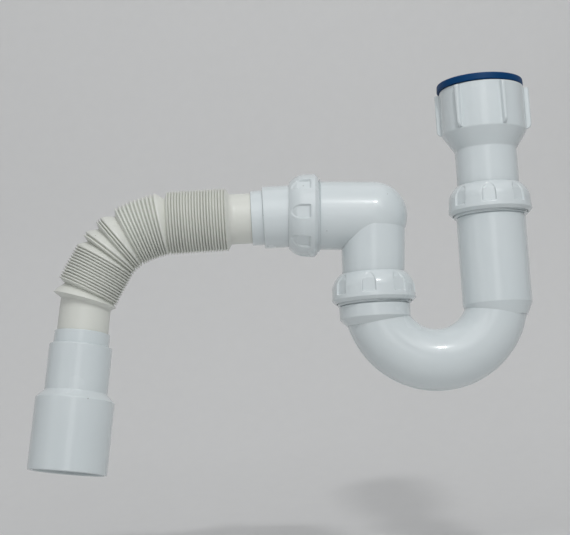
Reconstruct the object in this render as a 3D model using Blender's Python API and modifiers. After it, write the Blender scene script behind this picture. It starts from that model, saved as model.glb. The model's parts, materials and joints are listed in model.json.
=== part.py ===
# Urinal trap with slip joints: a ribbed inlet cup with a rubber cuff, a U-bend, an elbow and a corrugated hose.
# Metres, +Z up along the inlet axis. The origin is the centre of the inlet mouth, which holds the trap up.
# The water runs down the inlet, round the U-bend, up into the elbow, left along the hose and down to the outlet.

import math

import bmesh
import bpy
from mathutils import Matrix, Vector

# Slip tubes: the inlet tube, the elbow's leg and the hose tail
TUBE_DIAMETER = 0.0400
TUBE_WALL = 0.0020
SPIGOT_INSERTION = 0.0120     # how far the elbow's leg and the hose tail go into their sockets
SPIGOT_STOP = 0.0015          # bore left below a seated spigot
SLIDE_GAP = 0.0007            # around the inlet tube in its long socket
SEAT_GAP = 0.0003             # between pieces that touch
MERGE = 0.00001               # points closer than this are one

# Inlet cup
CUP_DIAMETER = 0.0547
CUP_WALL = 0.0027
CUP_DEPTH = 0.0292            # rim to the cone
CUP_CONE = 0.0113
CUP_RIBS = 6
RIB_HEIGHT = 0.0033
RIB_WIDTH = 0.0030
RIB_TOP = 0.0012              # bare cup above a rib
RIB_STOP = 0.0008             # bare cup between a rib's foot and the cone
RIB_TURN = -10.6              # degrees from the X axis to the first rib
INLET_EXPOSED = 0.0236        # plain tube between the cone and the nut
INLET_INSERTION = 0.0400

# Rubber cuff in the cup
CUFF_PROUD = 0.0048
CUFF_OVERHANG = 0.0008        # how far its flange stands past the cup
CUFF_WALL = 0.0036
CUFF_SLEEVE = 0.0200
CUFF_LIP = 0.0014
CUFF_LIPS = 2

# Slip nuts, washers and cone seals: the same at all three joints
NUT_WALL = 0.0028             # around the thread
NUT_HEIGHT = 0.0185
NUT_CROWN = 0.0042            # thickness of the end that presses the washer
NUT_DOME = 0.0100             # height of the rounded shoulder
NUT_FLARE = 0.0004
NUT_CHAMFER = 0.0020
NUT_SEAT_CONE = 0.0006        # from the thread's bore to the washer's
NUT_TRAVEL = 0.0060           # how far a nut backs off
RECESS_COUNT = 8
RECESS_WIDTH = 0.0082
RECESS_DEPTH = 0.0019         # at its foot
RECESS_LEDGE = 0.0046         # nut below the foot of a recess
RECESS_HEIGHT = 0.0110
RECESS_ARCH = 0.0055          # height of its arched top
RECESS_LEAN = 3.5             # degrees, its floor leans in with the dome
RECESS_TURNS = {"inlet": 36.0, "middle": 35.0, "outlet": 41.0}   # degrees from the joint's X axis, nuts done up
WASHER_THICKNESS = 0.0015
WASHER_WIDTH = 0.0026
SEAL_HEAD = 0.0018            # seal above the mouth of its socket
SEAL_TAPER = 0.0050           # seal inside the socket
SEAL_WALL = 0.0016            # thickness of its head
SEAL_LIP = 0.0004             # thickness of its thin end

# Threads
THREAD_WALL = 0.0026
THREAD_GAP = 0.0005
THREAD_PAST_NUT = 0.0015
THREAD_RUNOUT = 0.0008        # cone below the thread

# U-bend
SOCKET_WALL = 0.0015
SOCKET_LENGTH = 0.0688        # mouth to the step
SOCKET_STEP = 0.0040
STEP_PAST_BEND = 0.0063       # how far the step lies below the start of the bend
SOCKET_STOP = 0.0025          # bore's floor above the start of the bend
BEND_RADIUS = 0.0394
BEND_UNDERSIZE = 0.0004       # radius of a slip tube less the radius of the bend
BEND_WALL = 0.0020
BEND_LEAD = 0.0050            # straight pipe at each end of the half turn
BORE_LEAD = 0.0038            # and its bore
COLLAR_WALL = 0.0017
COLLAR_RISE = 0.0094          # outlet mouth above the ends of the bend
COLLAR_LENGTH = 0.0201
COLLAR_CONE = 0.0045

# Elbow
ELBOW_LEAN = 3.5              # degrees, its leg against the axis of its socket
ELBOW_RISE = 0.0464           # socket mouth to the middle of the arm
ELBOW_REACH = 0.0460          # corner to the mouth of the arm
ARM_WALL = 0.0011
ELBOW_WALL = 0.0022

# Rigid tail of the hose
TAIL_LEAN = 3.5               # degrees, the tail against the arm of the elbow
TAIL_REACH = 0.0250           # arm's mouth to the step
NECK_LENGTH = 0.0076
NECK_WALL = 0.0010
NECK_LIP = 0.0010
TAIL_FLOOR = 0.0020

# Corrugated hose
HOSE_CUFF_DIAMETER = 0.0325
HOSE_CREST_DIAMETER = 0.0410
HOSE_CLOSED_DEPTH = 0.0023    # groove of a fold that is pushed together
HOSE_OPEN_DEPTH = 0.0043      # and of one that is pulled open
HOSE_CLOSED_PITCH = 0.0024
HOSE_OPEN_PITCH = 0.0040
HOSE_WALL = 0.0013
HOSE_FIT = 0.0004
HOSE_TAIL_CUFF = 0.0136       # smooth cuff that shows beside the tail
HOSE_OUTLET_CUFF = 0.0190     # smooth cuff that shows above the outlet
HOSE_CONE = 0.0026            # from a cuff to the nearest crest
HOSE_END_TURN = 10.0          # degrees, in the last half fold before the outlet cuff
HOSE_END_SHIFT = 0.0012       # the outlet cuff's axis, off the middle of the last fold towards the trap
HOSE_END_SWING = 4.0          # degrees, the outlet's foot towards the front
# From the tail to the outlet: folds, their pitch at the middle of the hose, and the degrees that they turn together
HOSE_RUN = (
    (20, 0.00185, 1.0),
    (1, 0.0054, 9.0),
    (10, 0.00217, 15.0),
    (1, 0.0066, 12.5),
    (2, 0.00181, 0.2),
    (1, 0.0055, 11.4),
    (1, 0.0023, 0.3),
    (1, 0.0048, 8.5),
    (12, 0.00183, 3.4),
    (1, 0.0063, 11.0),
)

# Stepped outlet spigot
OUTLET_MIDDLE_DIAMETER = 0.0400
OUTLET_MIDDLE_LENGTH = 0.0296
OUTLET_NECK_LENGTH = 0.0086
OUTLET_CONE = 0.0048
OUTLET_DIAMETER = 0.0500
OUTLET_LENGTH = 0.0456
OUTLET_WALL = 0.0022
OUTLET_CHAMFER = 0.0008

# Faces around each round form
TURN_STEPS = 24
HOSE_SIDES = 16
BEND_STEPS = 14
DOME_STEPS = 5
ARCH_STEPS = 6
CORNER_STEPS = 6

# Sizes that follow
lean = math.radians(max(ELBOW_LEAN, TAIL_LEAN))
tubeRadius = TUBE_DIAMETER / 2
tubeBore = tubeRadius - TUBE_WALL
slideBore = tubeRadius + SLIDE_GAP
leanBore = tubeRadius + SPIGOT_INSERTION * math.sin(lean) + SEAT_GAP
leanBoreDepth = SPIGOT_INSERTION + SPIGOT_STOP
threadRadius = leanBore + THREAD_WALL
nutBore = threadRadius + THREAD_GAP
nutRadius = nutBore + NUT_WALL
sealTop = SEAT_GAP + SEAL_HEAD
washerFoot = sealTop + SEAT_GAP
washerTop = washerFoot + WASHER_THICKNESS
nutShoulder = washerTop + SEAT_GAP
nutTop = nutShoulder + NUT_CROWN
nutRim = nutTop - NUT_HEIGHT
nutHole = tubeRadius + (nutTop + NUT_TRAVEL) * math.sin(lean) + SEAT_GAP
washerBore = tubeRadius + (washerTop + NUT_TRAVEL) * math.sin(lean) + SEAT_GAP
nutSeat = washerBore + WASHER_WIDTH + SEAT_GAP
sealBore = tubeRadius + SEAL_TAPER * math.sin(lean) + SEAT_GAP
threadEnd = nutRim - THREAD_PAST_NUT
cupRadius = CUP_DIAMETER / 2
cupBore = cupRadius - CUP_WALL
bendDrop = SOCKET_LENGTH - STEP_PAST_BEND
bendTube = tubeRadius - BEND_UNDERSIZE
cuffRadius = HOSE_CUFF_DIAMETER / 2
cuffBore = cuffRadius - HOSE_WALL
neckBore = cuffRadius + HOSE_FIT
neckRadius = neckBore + NECK_WALL
crestRadius = HOSE_CREST_DIAMETER / 2
cuffSeat = NECK_LIP + SEAT_GAP   # hose end above the step that it stops on

WHITE = (0.78, 0.82, 0.83)
CREAM = (0.74, 0.73, 0.68)
BLUE = (0.010, 0.075, 0.230)
BLACK = (0.03, 0.03, 0.035)

frames = {}


def makeCollection(name):
    made = bpy.data.collections.new(name)
    bpy.context.scene.collection.children.link(made)
    return made


def makeMaterial(name, colour, roughness, metallic=0.0):
    material = bpy.data.materials.new(name)
    material.use_nodes = True
    shader = material.node_tree.nodes["Principled BSDF"]
    shader.inputs["Base Color"].default_value = (*colour, 1.0)
    shader.inputs["Roughness"].default_value = roughness
    shader.inputs["Metallic"].default_value = metallic
    material.diffuse_color = (*colour, 1.0)
    return material


def makeFrame(name, parent=None, offset=(0, 0, 0), turn=0.0):
    """An empty on a joint's axis, moved by offset and turned about Y in its parent's frame."""
    empty = bpy.data.objects.new(f"{name}_axis", None)
    empty.empty_display_size = tubeRadius
    parts.objects.link(empty)
    local = Matrix.Translation(offset) @ Matrix.Rotation(math.radians(turn), 4, "Y")
    empty.parent = frames[parent][0] if parent else None
    empty.matrix_basis = local
    frames[name] = (empty, frames[parent][1] @ local if parent else local)


def place(obj, frame, offset=(0, 0, 0), turn=0.0):
    obj.parent = frames[frame][0]
    obj.matrix_basis = Matrix.Translation(offset) @ Matrix.Rotation(math.radians(turn), 4, "Y")
    return obj


def addObject(name, mesh, home, material=None):
    obj = bpy.data.objects.new(name, mesh)
    home.objects.link(obj)
    if material:
        mesh.materials.append(material)
    if home is cutters:
        obj.hide_render = True
        obj.display_type = "WIRE"
    return obj


def turned(name, profile, home, material=None, closed=True):
    """A turned shape: the profile runs down its outer side, then up its bore or to the axis."""
    mesh = bpy.data.meshes.new(name)
    edges = [(index, index + 1) for index in range(len(profile) - 1)]
    if closed:
        edges.append((len(profile) - 1, 0))
    mesh.from_pydata([(radius, 0.0, height) for radius, height in profile], edges, [])
    obj = addObject(name, mesh, home, material)
    screw = obj.modifiers.new("turn", "SCREW")
    screw.axis = "Z"
    screw.steps = screw.render_steps = TURN_STEPS
    screw.use_merge_vertices = True
    screw.merge_threshold = MERGE
    return obj


def solid(name, profile, home, material=None):
    """A turned shape with no bore: the profile starts and ends on the axis."""
    top, foot = profile[0][1], profile[-1][1]
    return turned(name, [(0.0, top)] + profile + [(0.0, foot)], home, material, closed=False)


def combine(obj, other, operation):
    boolean = obj.modifiers.new(other.name, "BOOLEAN")
    boolean.operation = operation
    boolean.object = other
    boolean.solver = "EXACT"


def tubeAlong(name, points, radius, frame):
    """A round bar along the points, as a mesh that can cut or join."""
    curve = bpy.data.curves.new(name, "CURVE")
    curve.dimensions = "3D"
    curve.bevel_depth = radius
    curve.bevel_resolution = TURN_STEPS // 2 - 2
    curve.use_fill_caps = True
    spline = curve.splines.new("POLY")
    spline.points.add(len(points) - 1)
    for point, position in zip(spline.points, points):
        point.co = (*position, 1.0)
    guide = bpy.data.objects.new(name, curve)
    cutters.objects.link(guide)
    graph = bpy.context.evaluated_depsgraph_get()
    mesh = bpy.data.meshes.new_from_object(guide.evaluated_get(graph))
    bpy.data.objects.remove(guide, do_unlink=True)
    work = bmesh.new()
    work.from_mesh(mesh)
    bmesh.ops.remove_doubles(work, verts=work.verts, dist=MERGE)
    work.to_mesh(mesh)
    work.free()
    return place(addObject(name, mesh, cutters), frame)


def makeInletCup():
    """The ribbed cup, its cone and the inlet tube, one moulding."""
    rim = -CUFF_PROUD
    coneTop = rim - CUP_DEPTH
    coneFoot = coneTop - CUP_CONE
    tubeEnd = inletMouth - INLET_INSERTION
    cup = turned("inlet_cup", [
        (cupRadius, rim),
        (cupRadius, coneTop),
        (tubeRadius, coneFoot),
        (tubeRadius, tubeEnd),
        (tubeBore, tubeEnd),
        (tubeBore, coneFoot),
        (cupBore, coneTop),
        (cupBore, rim),
    ], parts, white)
    place(cup, "inlet")
    ribFoot = coneTop + RIB_STOP
    ribTop = rim - RIB_TOP
    ribTip = cupRadius + RIB_HEIGHT
    ribRoot = cupRadius - CUP_WALL / 2
    outline = [(ribRoot, ribTop), (ribRoot, ribFoot)]
    for step in range(CORNER_STEPS + 1):
        angle = math.pi / 2 * step / CORNER_STEPS
        outline.append((cupRadius + RIB_HEIGHT * math.sin(angle), ribFoot + RIB_HEIGHT * (1 - math.cos(angle))))
    outline.append((ribTip, ribTop))
    for index in range(CUP_RIBS):
        rib = addObject(f"rib_{index}", outlineMesh("rib", outline, RIB_WIDTH), cutters)
        rib.parent = frames["inlet"][0]
        rib.matrix_basis = Matrix.Rotation(math.radians(RIB_TURN) + math.tau * index / CUP_RIBS, 4, "Z")
        combine(cup, rib, "UNION")
    return cup


def outlineMesh(name, outline, thickness):
    """A flat outline in the XZ plane, given its thickness along Y."""
    mesh = bpy.data.meshes.new(name)
    work = bmesh.new()
    face = work.faces.new([work.verts.new((x, -thickness / 2, z)) for x, z in outline])
    pulled = bmesh.ops.extrude_face_region(work, geom=[face])
    moved = [item for item in pulled["geom"] if isinstance(item, bmesh.types.BMVert)]
    bmesh.ops.translate(work, verts=moved, vec=(0, thickness, 0))
    bmesh.ops.recalc_face_normals(work, faces=work.faces)
    work.to_mesh(mesh)
    work.free()
    return mesh


def makeInletCuff():
    """The rubber cuff: a flange on the cup's rim and a sleeve with sealing lips in its bore."""
    flange = cupRadius + CUFF_OVERHANG
    flangeFoot = -CUFF_PROUD + SEAT_GAP
    sleeve = cupBore - SEAT_GAP
    bore = sleeve - CUFF_WALL
    foot = -CUFF_PROUD - CUFF_SLEEVE
    profile = [(flange, 0.0), (flange, flangeFoot), (sleeve, flangeFoot), (sleeve, foot), (bore, foot)]
    pitch = CUFF_SLEEVE / (CUFF_LIPS + 1)
    for index in range(CUFF_LIPS):
        height = foot + pitch * (index + 1)
        profile += [(bore, height - CUFF_LIP), (bore - CUFF_LIP, height), (bore, height + CUFF_LIP)]
    profile += [(bore, flangeFoot), (bore + CUFF_LIP, 0.0)]
    return place(turned("inlet_cuff", profile, parts, blue), "inlet")


def recessMesh():
    """A niche in a nut: an arched outline, cut outwards from a floor that leans in with the dome."""
    half = RECESS_WIDTH / 2
    archFoot = RECESS_HEIGHT - RECESS_ARCH
    outline = [(-half, 0.0), (half, 0.0)]
    for step in range(ARCH_STEPS + 1):
        angle = math.pi * step / ARCH_STEPS
        outline.append((half * math.cos(angle), archFoot + RECESS_ARCH * math.sin(angle)))
    reach = nutRadius - tubeRadius
    mesh = outlineMesh("recess", outline, reach)
    mesh.transform(Matrix.Rotation(math.pi / 2, 4, "Z"))
    leaning = Matrix.Identity(4)
    leaning[0][2] = -math.tan(math.radians(RECESS_LEAN))
    mesh.transform(leaning)
    floor = nutRadius - RECESS_DEPTH
    mesh.transform(Matrix.Translation((floor + reach / 2, 0.0, nutRim + RECESS_LEDGE)))
    return mesh


def makeSlipJoint(prefix, frame):
    """A nut, its washer and its cone seal, on the axis of a socket whose mouth is at the frame's origin."""
    seal = turned(f"{prefix}_cone_seal", [
        (leanBore + SEAL_WALL, sealTop),
        (leanBore + SEAL_WALL, SEAT_GAP),
        (sealBore + SEAL_LIP, SEAT_GAP - SEAL_TAPER),
        (sealBore, SEAT_GAP - SEAL_TAPER),
        (sealBore, sealTop),
    ], parts, rubber)
    washer = turned(f"{prefix}_washer", [
        (washerBore + WASHER_WIDTH, washerTop),
        (washerBore + WASHER_WIDTH, washerFoot),
        (washerBore, washerFoot),
        (washerBore, washerTop),
    ], parts, washerPlastic)
    dome = []
    shoulder = nutRadius - NUT_FLARE
    domeWidth = shoulder - nutHole - SEAT_GAP
    for step in range(DOME_STEPS + 1):
        share = 1 - step / DOME_STEPS            # 1 at the crown, 0 at the skirt
        dome.append((shoulder - domeWidth * share ** 2, nutTop - NUT_DOME * (1 - share)))
    nut = turned(f"{prefix}_nut", [(nutHole, nutTop)] + dome + [
        (nutRadius, nutRim + NUT_CHAMFER),
        (nutRadius - NUT_CHAMFER, nutRim),
        (nutBore, nutRim),
        (nutBore, SEAT_GAP),
        (nutSeat, SEAT_GAP + NUT_SEAT_CONE),
        (nutSeat, nutShoulder),
        (nutHole, nutShoulder),
    ], parts, white)
    for index in range(RECESS_COUNT):
        angle = math.radians(RECESS_TURNS[prefix]) + math.tau * index / RECESS_COUNT
        cutter = addObject(f"{prefix}_recess_{index}", recessMesh(), cutters)
        cutter.parent = frames[frame][0]
        cutter.matrix_basis = Matrix.Rotation(angle, 4, "Z")
        combine(nut, cutter, "DIFFERENCE")
    for piece in (seal, washer, nut):
        place(piece, frame)


def socketBore(name, radius, depth, frame, offset=(0, 0, 0), turn=0.0):
    """Cuts a socket: a straight bore with a flared mouth for the cone seal."""
    flare = sealBore + SEAL_LIP + SEAT_GAP
    mouth = leanBore + SEAL_WALL + SEAT_GAP
    profile = [(mouth, SEAL_TAPER), (mouth, 0.0), (max(flare, radius), -SEAL_TAPER), (radius, -SEAL_TAPER),
               (radius, -depth)]
    return place(solid(name, profile, cutters), frame, offset, turn)


def makeUBend():
    """The tall inlet socket, the half turn and the outlet collar, one moulding."""
    socketRadius = slideBore + SOCKET_WALL
    collarRadius = leanBore + COLLAR_WALL
    body = solid("u_bend", [
        (threadRadius, 0.0),
        (threadRadius, threadEnd),
        (socketRadius, threadEnd - THREAD_RUNOUT),
        (socketRadius, -SOCKET_LENGTH),
        (bendTube, -SOCKET_LENGTH - SOCKET_STEP),
        (bendTube - BEND_WALL, -SOCKET_LENGTH - SOCKET_STEP),
    ], parts, white)
    place(body, "trap")
    centre = Vector((-BEND_RADIUS, 0.0, -bendDrop))

    def halfTurn(lead):
        points = [(0.0, 0.0, -bendDrop + lead)]
        for step in range(BEND_STEPS + 1):
            angle = math.pi * step / BEND_STEPS
            points.append(tuple(centre + BEND_RADIUS * Vector((math.cos(angle), 0.0, -math.sin(angle)))))
        points.append((-2 * BEND_RADIUS, 0.0, -bendDrop + lead))
        return points

    collarFoot = -COLLAR_LENGTH
    collar = solid("collar", [
        (threadRadius, 0.0),
        (threadRadius, threadEnd),
        (collarRadius, threadEnd - THREAD_RUNOUT),
        (collarRadius, collarFoot),
        (bendTube - BEND_WALL / 2, collarFoot - COLLAR_CONE),
    ], cutters)
    place(collar, "collar")
    combine(body, collar, "UNION")
    combine(body, tubeAlong("bend_outside", halfTurn(BEND_LEAD), bendTube, "trap"), "UNION")
    combine(body, socketBore("socket_bore", slideBore, bendDrop - SOCKET_STOP, "trap"), "DIFFERENCE")
    combine(body, socketBore("collar_bore", leanBore, leanBoreDepth, "collar"), "DIFFERENCE")
    combine(body, tubeAlong("bend_bore", halfTurn(BORE_LEAD), bendTube - BEND_WALL, "trap"), "DIFFERENCE")


def ballEnd(radius, steps):
    """The round end of the elbow's corner, from the side of the arm to its axis."""
    points = []
    for step in range(1, steps):
        angle = math.pi / 2 * step / steps
        points.append((radius * math.cos(angle), -radius * math.sin(angle)))
    return points


def makeElbow():
    """The plain leg, the ball corner and the threaded arm, one moulding."""
    armRadius = leanBore + ARM_WALL
    ballBore = armRadius - ELBOW_WALL
    armBore = tubeBore
    leg = solid("elbow", [(tubeRadius, ELBOW_RISE), (tubeRadius, -SPIGOT_INSERTION)], parts, white)
    place(leg, "elbow")
    armAt = (0.0, 0.0, ELBOW_RISE)
    ringEnd = ELBOW_REACH + threadEnd
    arm = [
        (threadRadius, ELBOW_REACH),
        (threadRadius, ringEnd),
        (armRadius, ringEnd),
        (armRadius, 0.0),
    ] + ballEnd(armRadius, CORNER_STEPS)
    outside = turned("arm_outside", [(0.0, ELBOW_REACH)] + arm + [(0.0, -armRadius)], cutters, closed=False)
    place(outside, "elbow", armAt, -90.0)
    combine(leg, outside, "UNION")
    boreStart = ELBOW_REACH - leanBoreDepth / 2      # within the socket, which is wider
    ballStart = ballBore / 2                         # foot of the cone from the arm's bore to the corner's
    bore = [(armBore, boreStart), (armBore, ballBore), (ballBore, ballStart), (ballBore, 0.0)]
    inside = turned("arm_bore", [(0.0, boreStart)] + bore + ballEnd(ballBore, CORNER_STEPS) + [(0.0, -ballBore)],
                    cutters, closed=False)
    place(inside, "elbow", armAt, -90.0)
    combine(leg, inside, "DIFFERENCE")
    combine(leg, socketBore("arm_socket", leanBore, leanBoreDepth, "arm"), "DIFFERENCE")
    legBore = solid("leg_bore", [(tubeBore, ELBOW_RISE), (tubeBore, -SPIGOT_INSERTION - SPIGOT_STOP)], cutters)
    place(legBore, "elbow")
    combine(leg, legBore, "DIFFERENCE")


def makeHoseTail():
    """The stepped tail that the hose plugs into."""
    neckEnd = TAIL_REACH + NECK_LENGTH
    place(turned("hose_tail", [
        (neckRadius, neckEnd),
        (neckRadius, TAIL_REACH),
        (tubeRadius, TAIL_REACH),
        (tubeRadius, -SPIGOT_INSERTION),
        (tubeBore, -SPIGOT_INSERTION),
        (tubeBore, TAIL_REACH - TAIL_FLOOR),
        (cuffBore, TAIL_REACH - TAIL_FLOOR),
        (cuffBore, TAIL_REACH + NECK_LIP),
        (neckBore, TAIL_REACH + NECK_LIP),
        (neckBore, neckEnd),
    ], parts, white), "tail")


def foldDepth(pitch):
    """A groove is shallow where the hose is pushed together, and gets deeper as a fold opens."""
    opened = min(1.0, max(0.0, (pitch - HOSE_CLOSED_PITCH) / (HOSE_OPEN_PITCH - HOSE_CLOSED_PITCH)))
    return HOSE_CLOSED_DEPTH + (HOSE_OPEN_DEPTH - HOSE_CLOSED_DEPTH) * opened


def hoseRings():
    """The rings of the hose from the tail to the outlet: each one's place in the tail's frame, and its radius."""
    rings = []
    at = Matrix.Translation((0.0, 0.0, TAIL_REACH + cuffSeat))

    def add(radius):
        rings.append((at.copy(), radius))

    def advance(length, turn=0.0):
        nonlocal at
        half = Matrix.Rotation(math.radians(-turn) / 2, 4, "Y")
        at = at @ half @ Matrix.Translation((0.0, 0.0, length)) @ half

    add(cuffRadius)
    advance(NECK_LENGTH - cuffSeat + HOSE_TAIL_CUFF)
    add(cuffRadius)
    advance(HOSE_CONE)
    add(crestRadius)
    for folds, pitch, turn in HOSE_RUN:
        for fold in range(folds):
            advance(pitch / 2, turn / folds / 2)
            add(crestRadius - foldDepth(pitch))
            advance(pitch / 2, turn / folds / 2)
            add(crestRadius)
    advance(HOSE_CONE, HOSE_END_TURN)
    at = at @ Matrix.Translation((-HOSE_END_SHIFT, 0.0, 0.0)) @ Matrix.Rotation(math.radians(HOSE_END_SWING), 4, "X")
    add(cuffRadius)
    advance(HOSE_OUTLET_CUFF + OUTLET_NECK_LENGTH - cuffSeat)
    add(cuffRadius)
    return rings


def makeHose(rings, shift):
    """The corrugated hose: its folds outside, and the same folds one wall further in."""
    work = bmesh.new()
    loops = []
    skins = [(*ring, 0.0) for ring in rings] + [(*ring, HOSE_WALL) for ring in reversed(rings)]
    for at, radius, wall in skins:
        circle = []
        for side in range(HOSE_SIDES):
            angle = math.tau * side / HOSE_SIDES
            spoke = Vector((math.cos(angle), math.sin(angle), 0.0)) * (radius - wall)
            circle.append(work.verts.new(at @ spoke - shift))
        loops.append(circle)
    for index, circle in enumerate(loops):
        following = loops[(index + 1) % len(loops)]
        for side in range(HOSE_SIDES):
            other = (side + 1) % HOSE_SIDES
            work.faces.new((circle[side], circle[other], following[other], following[side]))
    mesh = bpy.data.meshes.new("flexible_hose")
    bmesh.ops.recalc_face_normals(work, faces=work.faces)
    work.to_mesh(mesh)
    work.free()
    return place(addObject("flexible_hose", mesh, parts, cream), "hose")


def makeOutletSpigot(hoseEnd):
    """The stepped outlet, hanging from the step that the hose stops on."""
    middle = OUTLET_MIDDLE_DIAMETER / 2
    outer = OUTLET_DIAMETER / 2
    middleFoot = -OUTLET_MIDDLE_LENGTH
    coneFoot = middleFoot - OUTLET_CONE
    foot = coneFoot - OUTLET_LENGTH
    spigot = turned("outlet_spigot", [
        (neckRadius, OUTLET_NECK_LENGTH),
        (neckRadius, 0.0),
        (middle, 0.0),
        (middle, middleFoot),
        (outer, coneFoot),
        (outer, foot + OUTLET_CHAMFER),
        (outer - OUTLET_CHAMFER, foot),
        (outer - OUTLET_WALL, foot),
        (outer - OUTLET_WALL, coneFoot),
        (middle - OUTLET_WALL, middleFoot),
        (middle - OUTLET_WALL, -TAIL_FLOOR),
        (cuffBore, -TAIL_FLOOR),
        (cuffBore, NECK_LIP),
        (neckBore, NECK_LIP),
        (neckBore, OUTLET_NECK_LENGTH),
    ], parts, white)
    step = hoseEnd @ Matrix.Translation((0.0, 0.0, cuffSeat)) @ Matrix.Rotation(math.pi, 4, "Y")
    spigot.parent = frames["outlet"][0]
    spigot.matrix_basis = Matrix.Translation(-lowerHinge) @ step
    return spigot


for item in list(bpy.data.objects):
    bpy.data.objects.remove(item, do_unlink=True)

parts = makeCollection("urinal_trap")
cutters = makeCollection("urinal_trap_cutters")
white = makeMaterial("white_plastic", WHITE, 0.22)
cream = makeMaterial("hose_plastic", CREAM, 0.30)
blue = makeMaterial("blue_rubber", BLUE, 0.45)
rubber = makeMaterial("seal_rubber", BLACK, 0.60)
washerPlastic = makeMaterial("washer_plastic", WHITE, 0.35)

inletMouth = -CUFF_PROUD - CUP_DEPTH - CUP_CONE - INLET_EXPOSED - nutTop
makeFrame("inlet")
makeFrame("trap", "inlet", (0.0, 0.0, inletMouth))
makeFrame("collar", "trap", (-2 * BEND_RADIUS, 0.0, COLLAR_RISE - bendDrop))
makeFrame("elbow", "collar", turn=ELBOW_LEAN)
makeFrame("arm", "elbow", (-ELBOW_REACH, 0.0, ELBOW_RISE), -90.0)
makeFrame("tail", "arm", turn=-TAIL_LEAN)

# The hose bends about two points: there a line at half its turn meets the axes of its two ends.
hoseRun = hoseRings()
hoseEnd = hoseRun[-1][0]
bendEnd = hoseRun[-2][0].translation
outward = hoseEnd.col[2].xyz
hoseTurn = math.atan2(-outward.x, outward.z)
crossing = bendEnd.z + bendEnd.x / math.tan(hoseTurn)
reach = -bendEnd.x / math.sin(hoseTurn)
fromCrossing = reach * (1 - math.tan(hoseTurn / 4) / math.tan(hoseTurn / 2))
upperHinge = Vector((0.0, 0.0, crossing - fromCrossing))
lowerHinge = Vector((-fromCrossing * math.sin(hoseTurn), 0.0, crossing + fromCrossing * math.cos(hoseTurn)))
makeFrame("hose", "tail", upperHinge)
makeFrame("outlet", "hose", lowerHinge - upperHinge)

makeInletCup()
makeInletCuff()
makeSlipJoint("inlet", "trap")
makeUBend()
makeSlipJoint("middle", "collar")
makeElbow()
makeSlipJoint("outlet", "arm")
makeHoseTail()
makeHose(hoseRun, upperHinge)
makeOutletSpigot(hoseEnd)
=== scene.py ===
import json
import math
import random
from functools import partial

import bmesh
import bpy
from mathutils import Matrix, Vector


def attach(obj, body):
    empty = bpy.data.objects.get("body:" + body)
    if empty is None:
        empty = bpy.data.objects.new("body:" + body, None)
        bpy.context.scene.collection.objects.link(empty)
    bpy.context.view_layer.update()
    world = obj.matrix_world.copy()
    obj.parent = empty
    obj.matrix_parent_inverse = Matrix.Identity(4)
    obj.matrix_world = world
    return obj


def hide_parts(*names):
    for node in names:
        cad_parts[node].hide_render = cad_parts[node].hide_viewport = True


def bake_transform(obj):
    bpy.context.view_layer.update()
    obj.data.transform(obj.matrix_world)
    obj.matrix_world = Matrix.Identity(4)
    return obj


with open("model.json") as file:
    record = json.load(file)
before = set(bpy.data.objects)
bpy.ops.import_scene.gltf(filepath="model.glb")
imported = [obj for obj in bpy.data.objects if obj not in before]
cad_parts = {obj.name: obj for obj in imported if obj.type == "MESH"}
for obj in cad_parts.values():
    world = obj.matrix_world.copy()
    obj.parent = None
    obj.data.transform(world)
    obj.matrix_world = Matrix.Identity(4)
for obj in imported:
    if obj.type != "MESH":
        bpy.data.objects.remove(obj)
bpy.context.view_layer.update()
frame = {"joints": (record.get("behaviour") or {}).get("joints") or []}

# A white plastic urinal trap: ribbed cup, three slip joints, U-bend, elbow, and a bellows hose to a stepped
# outlet. Sizes are in millimetres in each piece's dictionary, everything else is in metres.
mm = 0.001
joints = {joint["name"]: joint for joint in frame["joints"]}
upright = Vector((0, 1, 0))


def jointFrame(name):
    # Z along the joint's axis, Y kept level
    joint = joints[name]
    z = Vector(joint["axis"]).normalized()
    x = upright.cross(z).normalized()
    return Matrix.Translation(joint["pos_m"]) @ Matrix((x, upright, z)).transposed().to_4x4()


cupAt = Matrix.Identity(4)
trapAt = jointFrame("inlet_nut_turn")
collarAt = jointFrame("middle_nut_turn")
elbowAt = jointFrame("elbow_swivel")
armAt = jointFrame("outlet_nut_turn")
tailAt = jointFrame("tail_swivel")


def turnY(degrees):
    return Matrix.Rotation(math.radians(degrees), 4, "Y")


def arc(steps, turn=math.pi / 2):
    # (cosine, sine) at even steps through a turn, with both its ends
    angles = [turn * step / steps for step in range(steps + 1)]
    return [(math.cos(angle), math.sin(angle)) for angle in angles]


def addObject(name, data):
    made = bpy.data.objects.new(name, data)
    bpy.context.scene.collection.objects.link(made)
    return made


# Camera and light

camera = {
    "width": 570, "height": 535,
    "focal": 1346,                    # pixels
    "sensor": 36,                     # millimetres
    "distance": 0.866, "clip": 0.05,  # metres
    "pitch": 8.0,                     # degrees upwards
    "lean": 3.2,                      # degrees, the inlet's axis against the picture's upright
    "inletAt": (480.3, 83.5),         # where the centre of the inlet's mouth is seen
}


def aimCamera():
    pitch = math.radians(camera["pitch"])
    right, ahead = Vector((1, 0, 0)), Vector((0, math.cos(pitch), math.sin(pitch)))
    above = right.cross(ahead)
    place = -ahead * camera["distance"]
    across = camera["inletAt"][0] - camera["width"] / 2
    down = camera["inletAt"][1] - camera["height"] / 2
    ray = ahead * camera["focal"] + right * across - above * down
    inlet = place - ray * (place.y / ray.y)          # on the plane y = 0
    view = Matrix((right, above, -ahead)).transposed().to_4x4()
    data = bpy.data.cameras.new("camera")
    data.sensor_width = camera["sensor"]
    data.lens = camera["sensor"] * camera["focal"] / camera["width"]
    data.clip_start = camera["clip"]
    eye = addObject("camera", data)
    eye.matrix_world = turnY(camera["lean"]) @ Matrix.Translation(place - inlet) @ view
    bpy.context.scene.camera = eye


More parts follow.
